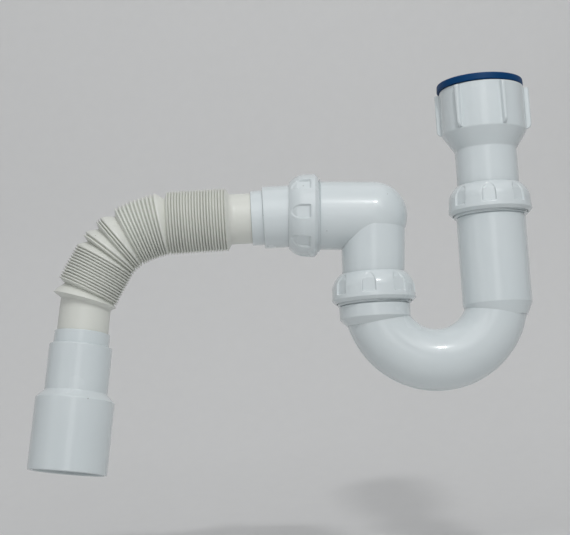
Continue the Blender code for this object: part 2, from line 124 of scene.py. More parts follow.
lights = {
    "key": {"at": (0.12, -0.95, 0.66), "aim": (-0.13, 0, -0.12), "size": (0.11, 0.04), "power": 3.6},
    "front": {"at": (-0.10, -1.25, 0.85), "aim": (-0.13, 0, -0.12), "size": (1.8, 1.0), "power": 7.0},
    "near": {"at": (-0.10, -1.50, 0.10), "aim": (-0.13, 0, -0.06), "size": (0.45, 1.00), "power": 1.4},
    "top": {"at": (-0.10, -0.20, 1.25), "aim": (-0.13, 0, -0.12), "size": (2.2, 1.5), "power": 5.0},
    "left": {"at": (-1.15, -0.75, 0.15), "aim": (-0.13, 0, -0.12), "size": (0.5, 1.1), "power": 0.6},
}
surround = {"world": 0.17, "seen": 0.45, "tint": (0.93, 0.96, 1.0, 1), "floor": -0.300, "back": 0.62,
            "front": -1.6, "side": 1.9, "top": 1.5, "curve": 0.38, "steps": 16}


def hangLights():
    for name, light in lights.items():
        data = bpy.data.lights.new(name, "AREA")
        data.shape = "RECTANGLE"
        data.size, data.size_y = light["size"]
        data.energy = light["power"]
        lamp = addObject(name, data)
        lamp.location = light["at"]
        lamp.rotation_euler = (Vector(light["aim"]) - lamp.location).to_track_quat("-Z", "Y").to_euler()
    world = bpy.data.worlds.new("studio")
    world.use_nodes = True
    # dim as a lamp, pale where the camera or a mirror sees it
    tree = world.node_tree
    rays = addNode(tree, "ShaderNodeLightPath").outputs
    mirrored = calc("MAXIMUM", rays["Is Glossy Ray"], rays["Is Transmission Ray"])
    strength = calc("MULTIPLY_ADD", calc("MAXIMUM", rays["Is Camera Ray"], mirrored),
                    surround["seen"] - surround["world"], surround["world"])
    feed(tree, tree.nodes["Background"], {"Color": surround["tint"], "Strength": strength})
    bpy.context.scene.world = world
    bpy.context.scene.view_settings.view_transform = "Standard"


def makeStage():
    # one pale sweep: floor, curve and back
    s = surround
    outline = [(s["front"], s["floor"])]
    for cosine, sine in arc(s["steps"]):
        outline.append((s["back"] - s["curve"] + s["curve"] * sine, s["floor"] + s["curve"] * (1 - cosine)))
    outline.append((s["back"], s["top"]))
    mesh = bpy.data.meshes.new("paper_sweep")
    points = [(x, y, z) for y, z in outline for x in (-s["side"], s["side"])]
    faces = [(2 * i, 2 * i + 1, 2 * i + 3, 2 * i + 2) for i in range(len(outline) - 1)]
    mesh.from_pydata(points, [], faces)
    mesh.shade_smooth()
    mesh.materials.append(paperFinish())
    addObject("paper_sweep", mesh)


# Materials

def feed(tree, node, values):
    # numbers and colours are set on the node's sockets, outputs of other nodes are linked to them
    for key, value in values.items():
        if isinstance(value, bpy.types.NodeSocket):
            tree.links.new(value, node.inputs[key])
        else:
            node.inputs[key].default_value = value


def addNode(tree, kind, values=None, **settings):
    made = tree.nodes.new(kind)
    for key, value in settings.items():
        setattr(made, key, value)
    feed(tree, made, values or {})
    return made


def calc(operation, *values):
    # a Math node, in the tree of the first value that isn't a plain number
    tree = next(value.id_data for value in values if isinstance(value, bpy.types.NodeSocket))
    return addNode(tree, "ShaderNodeMath", dict(enumerate(values)), operation=operation).outputs[0]


plus, minus, times, over = (partial(calc, name) for name in ("ADD", "SUBTRACT", "MULTIPLY", "DIVIDE"))


def startGroup(name, inputs, outputs):
    # a shader group of a place and numbers, which puts out numbers
    tree = bpy.data.node_groups.new(name, "ShaderNodeTree")
    tree.interface.new_socket(name="Vector", in_out="INPUT", socket_type="NodeSocketVector")
    for way, labels in (("INPUT", inputs), ("OUTPUT", outputs)):
        for label in labels:
            tree.interface.new_socket(name=label, in_out=way, socket_type="NodeSocketFloat")
    return tree, addNode(tree, "NodeGroupInput").outputs, addNode(tree, "NodeGroupOutput")


moulded = {
    "cloud": {"Detail": 4.0, "Roughness": 0.55}, "grain": {"Detail": 3.0, "Roughness": 0.6},
    "cells": {"Scale": 150.0, "Randomness": 1.0}, "rare": 0.93,  # cells over this have a speck
    "speckSize": 0.07, "cloudHeight": 3.0, "dentDepth": 0.0004,
}


def mouldedSkinGroup():
    # what every moulded plastic here shares: clouding, grain, specks and uneven roughness
    tree, given, put = startGroup(
        "mouldedSkin", ("Cloud Scale", "Grain Scale", "Speck Size", "Roughness", "Spread"),
        ("Cloud", "Specks", "Roughness", "Height"))
    at = given["Vector"]
    cloud, grain = (
        addNode(tree, "ShaderNodeTexNoise", {"Vector": at, "Scale": given[label], **moulded[name]}).outputs[0]
        for name, label in (("cloud", "Cloud Scale"), ("grain", "Grain Scale"))
    )
    cells = addNode(tree, "ShaderNodeTexVoronoi", {"Vector": at, **moulded["cells"]}).outputs
    rare = addNode(tree, "ShaderNodeSeparateColor", {"Color": cells["Color"]}).outputs["Red"]
    spots = calc("LESS_THAN", cells["Distance"], given["Speck Size"])
    feed(tree, put, {
        "Cloud": cloud, "Specks": times(calc("GREATER_THAN", rare, moulded["rare"]), spots),
        "Roughness": plus(times(cloud, given["Spread"]), given["Roughness"]),
        "Height": calc("MULTIPLY_ADD", cloud, moulded["cloudHeight"], grain),
    })
    return tree


# pointiness limits for the rubbed, paler edges and for the painted shade in the hollows
wearAndShade = {"Edge": (0.51, 0.60), "Hollow": (0.49, 0.40), "scale": 180.0, "detail": 3.0, "paler": 1.02}


def hollowShadeAndWearGroup():
    # Edge is 1 on the outer edges, for rubbed wear, and Hollow is 1 in the hollows, for painted shade, both
    # broken up by noise
    tree, given, put = startGroup("edgeWearAndHollowShade", ("Scale",), ("Edge", "Hollow"))
    bulge = addNode(tree, "ShaderNodeNewGeometry").outputs["Pointiness"]
    broken = addNode(tree, "ShaderNodeTexNoise", {"Vector": given["Vector"], "Scale": given["Scale"],
                                                  "Detail": wearAndShade["detail"]}).outputs["Fac"]
    for name in ("Edge", "Hollow"):
        low, high = wearAndShade[name]
        mask = addNode(tree, "ShaderNodeMapRange", {"Value": bulge, "From Min": low, "From Max": high})
        feed(tree, put, {name: times(mask.outputs["Result"], broken)})
    return tree


def startMaterial(name):
    material = bpy.data.materials.new(name)
    material.use_nodes = True
    return material, material.node_tree, material.node_tree.nodes["Principled BSDF"]


def mix(tree, factor, first, second):
    # of its sockets of every kind, 0 is the factor, and 6, 7 and 2 are the colours
    first, second = (colour if isinstance(colour, bpy.types.NodeSocket) else (*colour, 1)
                     for colour in (first, second))
    return addNode(tree, "ShaderNodeMix", {0: factor, 6: first, 7: second}, data_type="RGBA").outputs[2]


dull = {"coat": 0.0, "coatRough": 0.3, "specular": 0.15}
# the hollow colour of each plastic is painted shade, mixed into its creases and recesses
plastics = {
    "white_plastic": {
        "pale": (0.700, 0.752, 0.765), "deep": (0.640, 0.700, 0.718), "speck": (0.44, 0.47, 0.47),
        "hollowShade": (0.42, 0.44, 0.43), "rough": 0.17, "spread": 0.16, "cloud": 26.0, "grain": 480.0,
        "dents": 0.050, "coat": 0.60, "coatRough": 0.03, "specular": 0.3,
    },
    "hose_plastic": {
        "pale": (0.735, 0.748, 0.700), "deep": (0.680, 0.695, 0.645), "speck": (0.46, 0.46, 0.41),
        "hollowShade": (0.64, 0.65, 0.60), "rough": 0.33, "spread": 0.18, "cloud": 34.0, "grain": 520.0,
        "dents": 0.060, "coat": 0.08, "coatRough": 0.25, "specular": 0.5,
    },
    "washer_plastic": {
        "pale": (0.68, 0.70, 0.69), "deep": (0.60, 0.62, 0.61), "speck": (0.35, 0.35, 0.34),
        "hollowShade": (0.40, 0.40, 0.38), "rough": 0.42, "spread": 0.15, "cloud": 40.0, "grain": 600.0,
        "dents": 0.060, **dull,
    },
    "blue_rubber": {
        "pale": (0.0002, 0.052, 0.165), "deep": (0.0001, 0.032, 0.110), "speck": (0.06, 0.14, 0.24),
        "hollowShade": (0.005, 0.030, 0.070), "rough": 0.36, "spread": 0.20, "cloud": 60.0, "grain": 900.0,
        "dents": 0.070, **dull,
    },
    "seal_rubber": {
        "pale": (0.040, 0.040, 0.043), "deep": (0.022, 0.022, 0.024), "speck": (0.10, 0.10, 0.10),
        "hollowShade": (0.07, 0.07, 0.065), "rough": 0.50, "spread": 0.20, "cloud": 50.0, "grain": 900.0,
        "dents": 0.080, **dull,
    },
}


def mouldedFinish(name):
    look = plastics[name]
    material, tree, shader = startMaterial(name)
    place = addNode(tree, "ShaderNodeTexCoord").outputs["Object"]
    skin = addNode(tree, "ShaderNodeGroup", {
        "Vector": place, "Cloud Scale": look["cloud"], "Grain Scale": look["grain"],
        "Speck Size": moulded["speckSize"], "Roughness": look["rough"], "Spread": look["spread"],
    }, node_tree=skinGroup).outputs
    shadeAndWear = addNode(tree, "ShaderNodeGroup", {"Vector": place, "Scale": wearAndShade["scale"]},
                   node_tree=shadeAndWearGroup).outputs
    tone = mix(tree, skin["Cloud"], look["deep"], look["pale"])
    # painted shade: the hollows are mixed towards a darker colour; the edges are paler from rubbed wear
    shadedHollows = mix(tree, shadeAndWear["Hollow"], tone, look["hollowShade"])
    rubbed = mix(tree, shadeAndWear["Edge"], shadedHollows, tuple(min(1.0, part * wearAndShade["paler"]) for part in look["pale"]))
    dents = addNode(tree, "ShaderNodeBump", {"Height": skin["Height"], "Strength": look["dents"],
                                             "Distance": moulded["dentDepth"]})
    feed(tree, shader, {
        "Base Color": mix(tree, skin["Specks"], rubbed, look["speck"]), "Roughness": skin["Roughness"],
        "Normal": dents.outputs[0], "IOR": 1.49, "Specular IOR Level": look["specular"],
        "Coat Weight": look["coat"], "Coat Roughness": look["coatRough"],
    })
    material.diffuse_color = (*look["pale"], 1)
    return material


paper = {"pale": (0.785, 0.787, 0.785), "deep": (0.760, 0.762, 0.760), "fibres": 90.0, "detail": 5.0,
         "rough": 0.9, "specular": 0.1}


def paperFinish():
    material, tree, shader = startMaterial("sweep_paper")
    place = addNode(tree, "ShaderNodeTexCoord").outputs["Object"]
    fibre = addNode(tree, "ShaderNodeTexNoise", {"Vector": place, "Scale": paper["fibres"],
                                                 "Detail": paper["detail"]}).outputs["Fac"]
    feed(tree, shader, {"Base Color": mix(tree, fibre, paper["deep"], paper["pale"]),
                        "Roughness": paper["rough"], "Specular IOR Level": paper["specular"]})
    # clear from behind and below, so that the trap is seen from there too
    sides = addNode(tree, "ShaderNodeMixShader", {
        0: addNode(tree, "ShaderNodeNewGeometry").outputs["Backfacing"], 1: shader.outputs[0],
        2: addNode(tree, "ShaderNodeBsdfTransparent").outputs[0],
    })
    feed(tree, tree.nodes["Material Output"], {"Surface": sides.outputs[0]})
    return material


skinGroup = mouldedSkinGroup()
shadeAndWearGroup = hollowShadeAndWearGroup()
finishes = {name: mouldedFinish(name) for name in plastics}
aimCamera()
hangLights()
makeStage()
print("camera, lights, sweep and", len(finishes), "finishes")


# Shapes

roundSides = 144
corners = {"flat": 178, "reach": 0.45, "hold": 0.2, "least": 0.1}   # degrees, shares of a side, millimetres


def softened(outline, edge, steps=4, hold=0.5, closed=True):
    # rounds the corners of an outline; a corner may have its own radius as a third number
    made = []
    count = len(outline)
    for index, corner in enumerate(outline):
        here = Vector(corner[:2])
        if not closed and index in (0, count - 1):
            made.append(here)
            continue
        radius = corner[2] if len(corner) > 2 else edge
        before = Vector(outline[index - 1][:2]) - here
        after = Vector(outline[(index + 1) % count][:2]) - here
        angle = before.angle(after, math.pi)
        if radius <= 0 or angle > math.radians(corners["flat"]):
            made.append(here)
            continue
        cut = min(radius / math.tan(angle / 2), *(corners["reach"] * side.length for side in (before, after)))
        first, last = here + before.normalized() * cut, here + after.normalized() * cut
        spare = min(hold, corners["hold"] * before.length)
        if spare > corners["least"]:
            made.append(first + before.normalized() * spare)
        for step in range(steps + 1):
            t = step / steps
            made.append(first * (1 - t) ** 2 + here * 2 * t * (1 - t) + last * t ** 2)
        spare = min(hold, corners["hold"] * after.length)
        if spare > corners["least"]:
            made.append(last + after.normalized() * spare)
    return made


def divided(outline, longest, least=0.0, closed=True):
    # extra points on an outline's long sides, apart from those nearer the axis than least
    made = []
    for index, here in enumerate(outline):
        following = outline[(index + 1) % len(outline)]
        ahead = following - here
        far = min(here.x, following.x) > least and (closed or index < len(outline) - 1)
        parts = max(1, math.ceil(ahead.length / longest)) if far else 1
        made += [here + ahead * (part / parts) for part in range(parts)]
    return made


def stitch(work, rings):
    # faces between each ring of vertices and the next
    for ring, following in zip(rings, rings[1:]):
        for side in range(len(ring)):
            other = (side + 1) % len(ring)
            work.faces.new((ring[side], following[side], following[other], ring[other]))


def facedOut(mesh, work):
    bmesh.ops.recalc_face_normals(work, faces=work.faces)
    work.to_mesh(mesh)
    work.free()
    return mesh


def ringMesh(name, rings, poles=()):
    # a skin over rings of points: from the last back to the first, or else closed by a pole at each end
    work = bmesh.new()
    rings = [[work.verts.new(point) for point in ring] for ring in rings]
    stitch(work, rings if poles else rings + rings[:1])
    for pole, ring in zip(poles, (rings[0], rings[-1])):
        tip = work.verts.new(pole)
        for side, here in enumerate(ring):
            other = ring[(side + 1) % len(ring)]
            work.faces.new((tip, other, here) if ring is rings[-1] else (tip, here, other))
    return facedOut(bpy.data.meshes.new(name), work)


def turnedRings(outline, sides):
    circle = arc(sides, math.tau)[:-1]
    return [[(radius * mm * cosine, radius * mm * sine, height * mm) for cosine, sine in circle]
            for radius, height in outline]


def turnedMesh(name, outline, sides=roundSides):
    # the outline, in millimetres, runs down the outside and up the inside
    return ringMesh(name, turnedRings(outline, sides))


def turnedBar(name, outline):
    # the same without a bore: the outline runs down, and a flat face closes each end
    poles = [(0, 0, outline[end][1] * mm) for end in (0, -1)]
    return ringMesh(name, turnedRings(outline, roundSides), poles)


def shown(name, mesh, slot, sharp):
    mesh.shade_smooth()
    mesh.set_sharp_from_angle(angle=math.radians(sharp))
    mesh.materials.clear()
    mesh.materials.append(finishes[slot])
    return addObject(name, mesh)


def finished(name, mesh, at, body, replaced=(), slot="white_plastic", sharp=38):
    mesh.transform(at)
    piece = shown(name, mesh, slot, sharp)
    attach(piece, body)
    if replaced:
        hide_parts(*replaced)


def startTree(name, sizes):
    # a Geometry Nodes tree with a geometry, its sizes and a material as inputs
    tree = bpy.data.node_groups.new(name, "GeometryNodeTree")
    tree.interface.new_socket(name="Geometry", in_out="INPUT", socket_type="NodeSocketGeometry")
    for label, start in sizes.items():
        kind = "NodeSocketInt" if isinstance(start, int) else "NodeSocketFloat"
        tree.interface.new_socket(name=label, in_out="INPUT", socket_type=kind).default_value = start
    tree.interface.new_socket(name="Material", in_out="INPUT", socket_type="NodeSocketMaterial")
    tree.interface.new_socket(name="Geometry", in_out="OUTPUT", socket_type="NodeSocketGeometry")
    return tree, addNode(tree, "NodeGroupInput").outputs


def endTree(tree, given, geometry):
    real = addNode(tree, "GeometryNodeRealizeInstances", {"Geometry": geometry})
    painted = addNode(tree, "GeometryNodeSetMaterial", {"Geometry": real.outputs[0],
                                                        "Material": given["Material"]})
    addNode(tree, "NodeGroupOutput", {0: painted.outputs[0]})
    return tree


def eased(value, low, high):
    # 0 at low, 1 at high, smooth between
    return addNode(value.id_data, "ShaderNodeMapRange", {"Value": value, "From Min": low, "From Max": high},
                   interpolation_type="SMOOTHSTEP").outputs["Result"]


def roundAxis(tree):
    # angle about Z, distance from it, and height
    place = addNode(tree, "GeometryNodeInputPosition").outputs[0]
    x, y, z = addNode(tree, "ShaderNodeSeparateXYZ", {0: place}).outputs
    return calc("ARCTAN2", y, x), calc("SQRT", plus(times(x, x), times(y, y))), z


def moved(tree, geometry, angle, out, across, z):
    # puts each point at (out, across, z) in a frame turned about Z by angle
    cosine, sine = calc("COSINE", angle), calc("SINE", angle)
    place = addNode(tree, "ShaderNodeCombineXYZ", {
        "X": minus(times(out, cosine), times(across, sine)),
        "Y": plus(times(out, sine), times(across, cosine)),
        "Z": z,
    })
    placed = addNode(tree, "GeometryNodeSetPosition", {"Geometry": geometry, "Position": place.outputs[0]})
    return placed.outputs[0]


def grown(name, mesh, tree, sizes, slot="white_plastic"):
    # runs a tree on a mesh and returns the plain mesh that it makes
    carrier = addObject(name, mesh)
    modifier = carrier.modifiers.new(name, "NODES")
    modifier.node_group = tree
    values = dict(sizes, Material=finishes[slot])
    for socket in tree.interface.items_tree:
        if socket.in_out == "INPUT" and socket.name in values:
            modifier[socket.identifier] = values[socket.name]
    graph = bpy.context.evaluated_depsgraph_get()
    made = bpy.data.meshes.new_from_object(carrier.evaluated_get(graph))
    bpy.data.objects.remove(carrier)
    return made


def cutMesh(first, others):
    # joins and cuts meshes: others is a list of (mesh, matrix, operation)
    base = addObject("base", first)
    helpers = []
    for mesh, place, operation in others:
        helper = addObject("helper", mesh)
        helper.matrix_world = place
        helpers.append(helper)
        boolean = base.modifiers.new("boolean", "BOOLEAN")
        boolean.object, boolean.operation, boolean.solver = helper, operation, "EXACT"
    graph = bpy.context.evaluated_depsgraph_get()
    made = bpy.data.meshes.new_from_object(base.evaluated_get(graph))
    for old in (base, *helpers):
        bpy.data.objects.remove(old)
    return made


# Inlet cup and its rubber cuff

cup = {
    "rim": -4.8, "radius": 27.35, "wall": 2.7, "depth": 29.2, "cone": 11.3,
    "tube": 20.0, "bore": 18.0, "tubeEnd": -117.3,
    "ribs": 6, "ribTurn": -10.6, "ribHeight": 3.3, "ribTop": -6.0, "ribFoot": -33.2, "ribFillet": 0.8,
    "ribTopWidth": 3.0, "ribFootWidth": 2.1, "ribCorner": 1.0, "ribBrow": 0.7,
    "ribLeast": 0.04, "ribDip": 0.18, "cornerShare": 0.9,   # of the rib's height
    "ribRoot": -1.0, "ribSunk": 0.02, "weld": 0.001,
    "ribSteps": 12, "browSteps": 6, "filletSteps": 5, "cornerSteps": 7,
}


def makeCup():
    c = cup
    low, foot = c["rim"] - c["depth"], c["rim"] - c["depth"] - c["cone"]
    inside = c["radius"] - c["wall"]
    outline = softened([
        (c["radius"], c["rim"], 0.6), (c["radius"], low, 2.2), (c["tube"], foot, 1.6),
        (c["tube"], c["tubeEnd"], 0.5), (c["bore"], c["tubeEnd"], 0.4), (c["bore"], foot, 1.6),
        (inside, low, 2.2), (inside, c["rim"], 1.1),
    ], 0.5, steps=6)
    finished("inlet_cup_body", turnedMesh("inlet_cup_body", outline), cupAt, "inlet", ["inlet_cup"])


def ribStations():
    # heights up a rib, each with the share of its full height: a rounded foot, a long side and a soft brow
    c = cup
    tall, brow, steps = c["ribHeight"], c["ribBrow"], c["ribSteps"]
    side = c["ribTop"] - c["ribFoot"] - tall - brow
    stations = [(c["ribFoot"] + tall * (1 - cosine), max(c["ribLeast"], sine)) for cosine, sine in arc(steps)]
    stations += [(c["ribFoot"] + tall + side * step / steps, 1.0) for step in range(1, steps + 1)]
    stations += [(c["ribTop"] - brow + brow * sine, 1 - c["ribDip"] * (1 - cosine))
                 for cosine, sine in arc(c["browSteps"])[1:]]
    return stations


def ribSection(height, share):
    # one half of a rib's section as (across, out), from the root's fillet to the round outer corner
    c = cup
    fillet = c["ribFillet"]
    upwards = (height - c["ribFoot"]) / (c["ribTop"] - c["ribFoot"])
    wide = (c["ribFootWidth"] + (c["ribTopWidth"] - c["ribFootWidth"]) * upwards) / 2
    top = c["ribHeight"] * share
    corner = min(c["ribCorner"], top * c["cornerShare"], wide)
    half = [(-wide - fillet, c["ribRoot"])]
    half += [(-wide - fillet + fillet * sine, min(top, fillet * (1 - cosine)))
             for cosine, sine in arc(c["filletSteps"])]
    half += [(-wide + corner * (1 - cosine), top - corner + corner * sine)
             for cosine, sine in arc(c["cornerSteps"])]
    return half


def ribMesh():
    # one rib: sections up the cup's side, sunk a little into it
    work = bmesh.new()
    sections = []
    for height, share in ribStations():
        half = ribSection(height, share)
        section = []
        for across, out in half + [(-across, out) for across, out in reversed(half)]:
            outwards = math.sqrt(cup["radius"] ** 2 - across ** 2) + out - cup["ribSunk"]
            section.append(work.verts.new((outwards * mm, across * mm, height * mm)))
        sections.append(section)
    stitch(work, sections)
    work.faces.new(sections[0])
    work.faces.new(list(reversed(sections[-1])))
    bmesh.ops.remove_doubles(work, verts=work.verts, dist=cup["weld"] * mm)
    return facedOut(bpy.data.meshes.new("rib"), work)


def ribRingTree(sizes):
    # the mesh set round the axis
    tree, given = startTree("ribRing", sizes)
    index = addNode(tree, "GeometryNodeInputIndex").outputs[0]
    share = over(times(index, math.tau), given["Count"])
    turn = addNode(tree, "ShaderNodeCombineXYZ", {"Z": plus(share, given["Turn"])})
    copies = addNode(tree, "GeometryNodeInstanceOnPoints", {
        "Points": addNode(tree, "GeometryNodePoints", {"Count": given["Count"]}).outputs[0],
        "Instance": given["Geometry"], "Rotation": turn.outputs[0],
    })
    return endTree(tree, given, copies.outputs[0])


def makeRibs():
    sizes = {"Count": cup["ribs"], "Turn": math.radians(cup["ribTurn"])}
    ring = grown("ribs", ribMesh(), ribRingTree(sizes), sizes)
    finished("inlet_cup_ribs", ring, cupAt, "inlet", sharp=50)


cuff = {"radius": 28.15, "top": 0.0, "flangeFoot": -4.6, "sleeve": 24.35, "bore": 20.75, "foot": -24.8,
        "draft": 0.25, "funnel": 1.4, "lip": 1.4, "lips": 2, "aside": -0.8, "settle": 1.2}


def makeCuff():
    c = cuff
    outline = [(c["radius"] - c["draft"], c["top"], 1.1), (c["radius"], c["flangeFoot"], 0.7),
               (c["sleeve"], c["flangeFoot"], 0.5), (c["sleeve"], c["foot"], 0.8),
               (c["bore"], c["foot"], 0.6)]
    pitch = (c["flangeFoot"] - c["foot"]) / (c["lips"] + 1)
    for lip in range(c["lips"]):
        height = c["foot"] + pitch * (lip + 1)
        outline += [(c["bore"], height - c["lip"], 0.5), (c["bore"] - c["lip"], height, 0.4),
                    (c["bore"], height + c["lip"], 0.5)]
    outline += [(c["bore"], c["flangeFoot"], 2.0), (c["bore"] + c["funnel"], c["top"], 0.9)]
    mesh = turnedMesh("rubber_cuff", softened(outline, 0.5))
    for vertex in mesh.vertices:            # the flange sits a little aside on the rim
        share = (vertex.co.z / mm - c["flangeFoot"] + c["settle"]) / c["settle"]
        vertex.co.x += c["aside"] * mm * min(1.0, max(0.0, share))
    finished("rubber_cuff", mesh, cupAt, "inlet", ["inlet_cuff"], "blue_rubber")


makeCup()
makeRibs()
makeCuff()
print("inlet cup, ribs and cuff")


# Slip nuts with their washers and cone seals

nut = {
    "radius": 26.93, "hole": 21.18, "top": 8.4, "rim": -10.1, "shoulder": 4.2, "bore": 24.13, "seat": 23.8,
    "seatCone": (0.3, 0.9), "lip": 0.3, "dome": 10.0, "flare": 0.4, "chamfer": 2.0,
    "recesses": 8, "recessWidth": 8.4, "recessFloor": 25.03, "ledge": -5.5, "recessHeight": 12.2, "arch": 7.0,
    "lean": 3.5, "least": 0.7, "soften": 0.8, "turns": {"inlet": 36.0, "middle": 35.0, "outlet": 41.0},
    "skin": (-1.2, -0.7), "merge": 0.3,   # how far under the dome the recesses end, and how softly
    "sides": 512, "face": 0.42, "faceDepth": 1.2, "domeSteps": 24,
}
nut["domeRadius"] = nut["radius"] - nut["flare"]
nut["domeWidth"] = nut["domeRadius"] - nut["hole"] - nut["lip"]


def recessSizes(joint):
    # lengths are in metres from here on
    lengths = ("recessWidth", "recessFloor", "ledge", "recessHeight", "arch", "least", "soften", "top",
               "dome", "domeRadius", "domeWidth")
    return {"count": nut["recesses"], "turn": math.radians(nut["turns"][joint]),
            "lean": math.tan(math.radians(nut["lean"])), **{key: nut[key] * mm for key in lengths}}


def recessTree():
    # arched niches around a nut: a flat floor that leans in, and shallow where they run out on the dome
    tree, given = startTree("fingerRecesses", recessSizes("inlet"))
    angle, reach, z = roundAxis(tree)
    half = over(math.pi, given["count"])
    local = calc("WRAP", minus(angle, given["turn"]), half, times(half, -1.0))
    across, out = times(reach, calc("SINE", local)), times(reach, calc("COSINE", local))
    climb = minus(z, given["ledge"])
    wide = times(given["recessWidth"], 0.5)
    up = over(calc("MAXIMUM", minus(climb, minus(given["recessHeight"], given["arch"])), 0.0), given["arch"])
    along = over(across, wide)
    past = times(minus(calc("SQRT", plus(times(along, along), times(up, up))), 1.0), wide)
    ease = times(given["soften"], 0.5)
    inside = minus(1.0, eased(past, times(ease, -1.0), ease))
    above = eased(climb, 0.0, given["soften"])
    floor = minus(given["recessFloor"], times(given["lean"], climb))
    share = calc("MAXIMUM", minus(1.0, over(minus(given["top"], z), given["dome"])), 0.0)
    dome = minus(given["domeRadius"], times(given["domeWidth"], times(share, share)))
    outer = eased(minus(reach, dome), nut["skin"][0] * mm, nut["skin"][1] * mm)
    proud = calc("SMOOTH_MAX", minus(out, floor), times(outer, given["least"]), nut["merge"] * mm)
    depth = times(proud, times(inside, above))
    shape = moved(tree, given["Geometry"], minus(angle, local), minus(out, depth), across, z)
    return endTree(tree, given, shape)


def nutOutline():
    n = nut
    dome = []
    for step in range(n["domeSteps"] + 1):
        share = 1 - step / n["domeSteps"]
        dome.append(Vector((n["domeRadius"] - n["domeWidth"] * share ** 2,
                            n["top"] - n["dome"] * (1 - share))))
    skirt = softened([
        dome[-1], (n["radius"], n["rim"] + n["chamfer"], 0.6), (n["radius"] - n["chamfer"], n["rim"], 0.5),
        (n["bore"], n["rim"], 0.3), (n["bore"], n["seatCone"][0], 0.2), (n["seat"], n["seatCone"][1], 0.2),
        (n["seat"], n["shoulder"], 0.4), (n["hole"], n["shoulder"], 0.3), (n["hole"], n["top"] - n["lip"]),
    ], 0.4, closed=False)
    return divided(dome + skirt[1:], n["face"], n["recessFloor"] - n["faceDepth"])


recesses = recessTree()


def makeNut(joint, at):
    body = turnedMesh("nut", nutOutline(), nut["sides"])
    shaped = grown("nut", body, recesses, recessSizes(joint))
    finished(f"{joint}_slip_nut", shaped, at, f"{joint}_nut", [f"{joint}_nut"])


washer = {"inner": 20.9, "outer": 23.5, "top": 3.9, "foot": 2.4}
seal = {"inner": 20.6, "outer": 22.63, "top": 2.1, "shelf": 0.3, "toe": -4.7, "toeWall": 0.4, "rings": 2,
        "ringHalf": 0.5, "ringDip": 0.35}


def makeWasher(joint, at):
    w = washer
    outline = softened([(w["outer"], w["top"]), (w["outer"], w["foot"]), (w["inner"], w["foot"]),
                        (w["inner"], w["top"])], 0.3)
    finished(f"{joint}_joint_washer", turnedMesh("washer", outline), at, f"{joint}_washer",
             [f"{joint}_washer"], "washer_plastic")


def makeSeal(joint, at, body):
    s = seal
    outline = [(s["outer"], s["top"], 0.4), (s["outer"], s["shelf"], 0.3)]
    for ring in range(1, s["rings"] + 1):
        share = ring / (s["rings"] + 1)
        radius = s["outer"] + (s["inner"] + s["toeWall"] - s["outer"]) * share
        height = s["shelf"] + (s["toe"] - s["shelf"]) * share
        outline += [(radius, height + s["ringHalf"], 0.2), (radius - s["ringDip"], height, 0.2),
                    (radius, height - s["ringHalf"], 0.2)]
    outline += [(s["inner"] + s["toeWall"], s["toe"], 0.1), (s["inner"], s["toe"], 0.1),
                (s["inner"], s["top"], 0.3)]
    finished(f"{joint}_seal_ring", turnedMesh("seal", softened(outline, 0.2)), at, body,
             [f"{joint}_cone_seal"], "seal_rubber")


slipJoints = {"inlet": (trapAt, "inlet_seal"), "middle": (collarAt, "trap"), "outlet": (armAt, "elbow")}
for joint, (at, body) in slipJoints.items():
    makeNut(joint, at)
    makeWasher(joint, at)
    makeSeal(joint, at, body)
print("three slip joints")


# U-bend sizes, which the threads share, then the screw threads on the three sockets

bend = {
    "tube": 19.6, "bore": 17.6, "turnRadius": 39.4, "drop": 62.5, "steps": 64,
    "socket": 22.2, "socketBore": 20.7, "socketEnd": -68.4, "step": 8.0, "boreEnd": -60.0,
    "collar": 22.73, "collarBore": 21.03, "collarDepth": 13.5, "collarEnd": -20.1, "collarCone": 4.5,
    "collarRise": 9.4, "mouth": 22.93, "flare": 21.31, "taper": 5.0, "neck": 21.6,
    "lead": 5.0, "boreLead": 3.8, "leadSteps": 4,
    "above": 4.0, "ledge": 0.05,                        # the sockets' cutters
    "neckCone": 0.8, "stepWall": 0.9, "ringWall": 1.0,
    "flash": 0.28, "flashFrom": 20, "flashTurn": 148, "flashSteps": 90,   # the mould line, in degrees
}
thread = {
    "crest": 23.6, "root": 22.5, "end": -11.55, "pitch": 3.0,
    "ridge": (0.10, 0.42),                # the ridge's side, as shares of half a pitch
    "leadIn": 0.8, "runOut": 0.9, "skin": (0.6, 0.2),
    "fade": (-4.5, -0.8), "faded": 0.6,   # the ridges get lower towards the mouth
    "sides": 224, "face": 0.15,
}


def threadSizes():
    t = thread
    return {"Pitch": t["pitch"] * mm, "Depth": (t["crest"] - t["root"]) * mm, "Crest": t["crest"] * mm,
            "Foot": t["end"] * mm}


def threadTree():
    # cuts the grooves of a screw into a sleeve whose top is at 0
    tree, given = startTree("screwThread", threadSizes())
    skin, fade = ([part * mm for part in thread[key]] for key in ("skin", "fade"))
    angle, reach, z = roundAxis(tree)
    phase = calc("FRACT", minus(over(z, given["Pitch"]), over(angle, math.tau)))
    ridge = calc("ABSOLUTE", minus(times(phase, 2.0), 1.0))
    groove = calc("MAXIMUM", minus(1.0, eased(ridge, *thread["ridge"])),
                  eased(z, -thread["leadIn"] * mm, 0.0))
    ended = times(groove, eased(z, given["Foot"], plus(given["Foot"], thread["runOut"] * mm)))
    outer = eased(reach, *(minus(given["Crest"], part) for part in skin))
    fading = minus(1.0, times(eased(z, *fade), thread["faded"]))
    cut = times(times(ended, outer), times(given["Depth"], fading))
    return endTree(tree, given, moved(tree, given["Geometry"], angle, minus(reach, cut), 0.0, z))


threads = threadTree()


